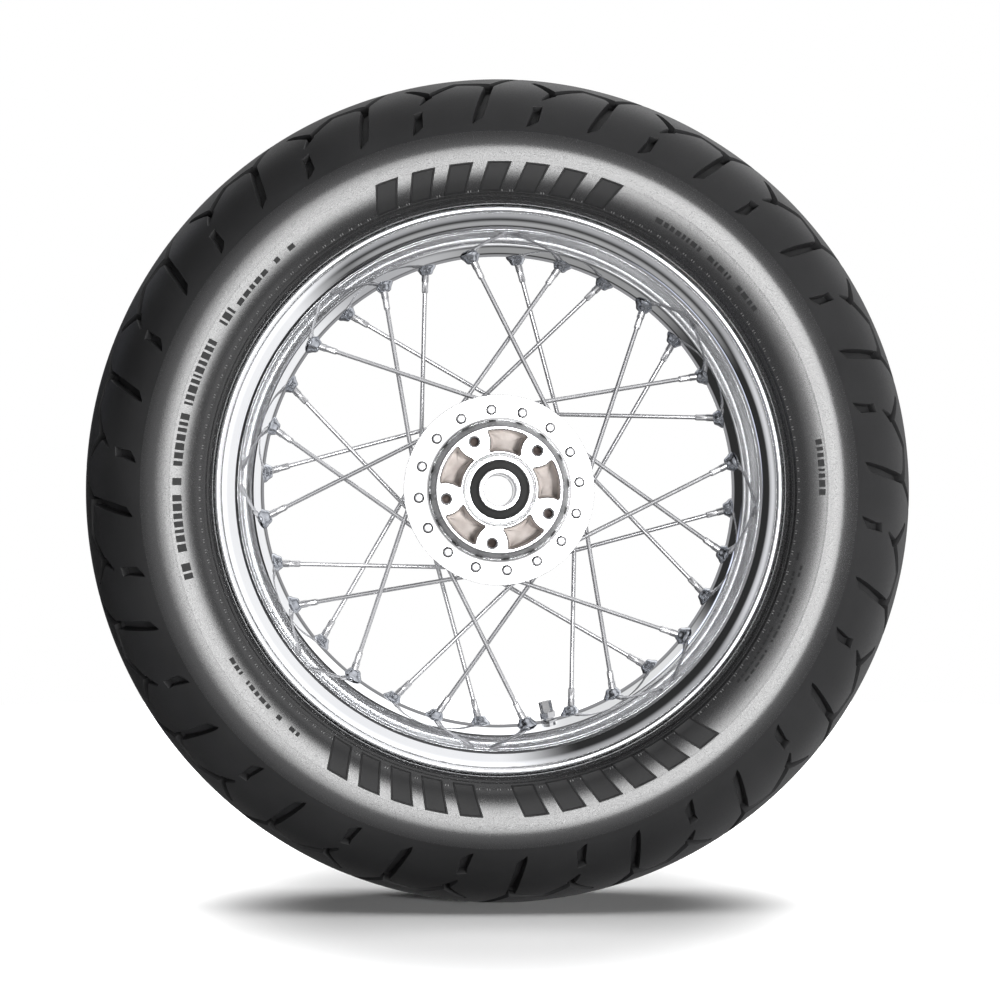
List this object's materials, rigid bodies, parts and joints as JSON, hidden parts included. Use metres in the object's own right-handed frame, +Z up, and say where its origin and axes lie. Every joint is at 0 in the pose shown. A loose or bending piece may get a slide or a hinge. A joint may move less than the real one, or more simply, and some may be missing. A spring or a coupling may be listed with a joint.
{
  "type": "motorcycle wheel with tyre",
  "caption": "Wire-spoked motorcycle wheel: grooved road tyre and tube on a chromed drop-centre rim, crossed spokes with nipples, and a polished hub turning on sealed ball bearings.",
  "frame": {"origin": "wheel centre, on the spin axis midway between the rim's flanges", "axes": "+Y along the spin axis from the disc side to the drive side, +Z up, X along the direction of travel"},
  "size_m": [0.646, 0.151, 0.646],
  "materials": {
    "tread_rubber": "matte",
    "side_rubber": "satin",
    "rubbered_ply": "matte",
    "bead_wire": "drawn wire",
    "tube_rubber": "matte",
    "band_rubber": "matte",
    "chrome_rim": "mirror",
    "bright_zinc": "bright plated",
    "polished_alloy": "polished",
    "bearing_steel": "ground",
    "seal_rubber": "satin",
    "valve_metal": "nickel plated"
  },
  "bodies": {
    "axle_side": {"axle_spacer": "bearing_steel", "bearing_inner_race_disc_side": "bearing_steel", "bearing_inner_race_drive_side": "bearing_steel"},
    "wheel": {"tyre_tread": "tread_rubber", "tyre_sidewall_disc_side": "side_rubber", "tyre_sidewall_drive_side": "side_rubber", "tyre_belt": "rubbered_ply", "tyre_casing": "rubbered_ply", "bead_core_disc_side": "bead_wire", "bead_core_drive_side": "bead_wire", "inner_tube": "tube_rubber", "rim_band": "band_rubber", "rim": "chrome_rim", "valve_stem": "valve_metal", "valve_nut": "valve_metal", "valve_cap": "valve_metal", "spoke_01": "bright_zinc", "spoke_02": "bright_zinc", "spoke_03": "bright_zinc", "spoke_04": "bright_zinc", "spoke_05": "bright_zinc", "spoke_06": "bright_zinc", "spoke_07": "bright_zinc", "spoke_08": "bright_zinc", "spoke_09": "bright_zinc", "spoke_10": "bright_zinc", "spoke_11": "bright_zinc", "spoke_12": "bright_zinc", "spoke_13": "bright_zinc", "spoke_14": "bright_zinc", "spoke_15": "bright_zinc", "spoke_16": "bright_zinc", "spoke_17": "bright_zinc", "spoke_18": "bright_zinc", "spoke_19": "bright_zinc", "spoke_20": "bright_zinc", "spoke_21": "bright_zinc", "spoke_22": "bright_zinc", "spoke_23": "bright_zinc", "spoke_24": "bright_zinc", "spoke_25": "bright_zinc", "spoke_26": "bright_zinc", "spoke_27": "bright_zinc", "spoke_28": "bright_zinc", "spoke_29": "bright_zinc", "spoke_30": "bright_zinc", "spoke_31": "bright_zinc", "spoke_32": "bright_zinc", "hub_shell": "polished_alloy", "bearing_outer_race_disc_side": "bearing_steel", "bearing_seal_disc_side": "seal_rubber", "bearing_outer_race_drive_side": "bearing_steel", "bearing_seal_drive_side": "seal_rubber"},
    "ball_cage_disc_side": {"bearing_ball_cage_disc_side": "bearing_steel"},
    "ball_cage_drive_side": {"bearing_ball_cage_drive_side": "bearing_steel"}
  },
  "joints": [
    {"name": "wheel_spin", "type": "hinge", "parent": "axle_side", "child": "wheel", "pos_m": [0, 0, 0], "axis": [0, 1, 0], "continuous": true},
    {"name": "ball_cage_spin_disc_side", "type": "hinge", "parent": "axle_side", "child": "ball_cage_disc_side", "pos_m": [0, -0.057, 0], "axis": [0, 1, 0], "continuous": true},
    {"name": "ball_cage_spin_drive_side", "type": "hinge", "parent": "axle_side", "child": "ball_cage_drive_side", "pos_m": [0, 0.057, 0], "axis": [0, 1, 0], "continuous": true}
  ],
  "couplings": [
    {"joint": "ball_cage_spin_disc_side", "follows": "wheel_spin", "ratio": 0.603},
    {"joint": "ball_cage_spin_drive_side", "follows": "wheel_spin", "ratio": 0.603}
  ]
}
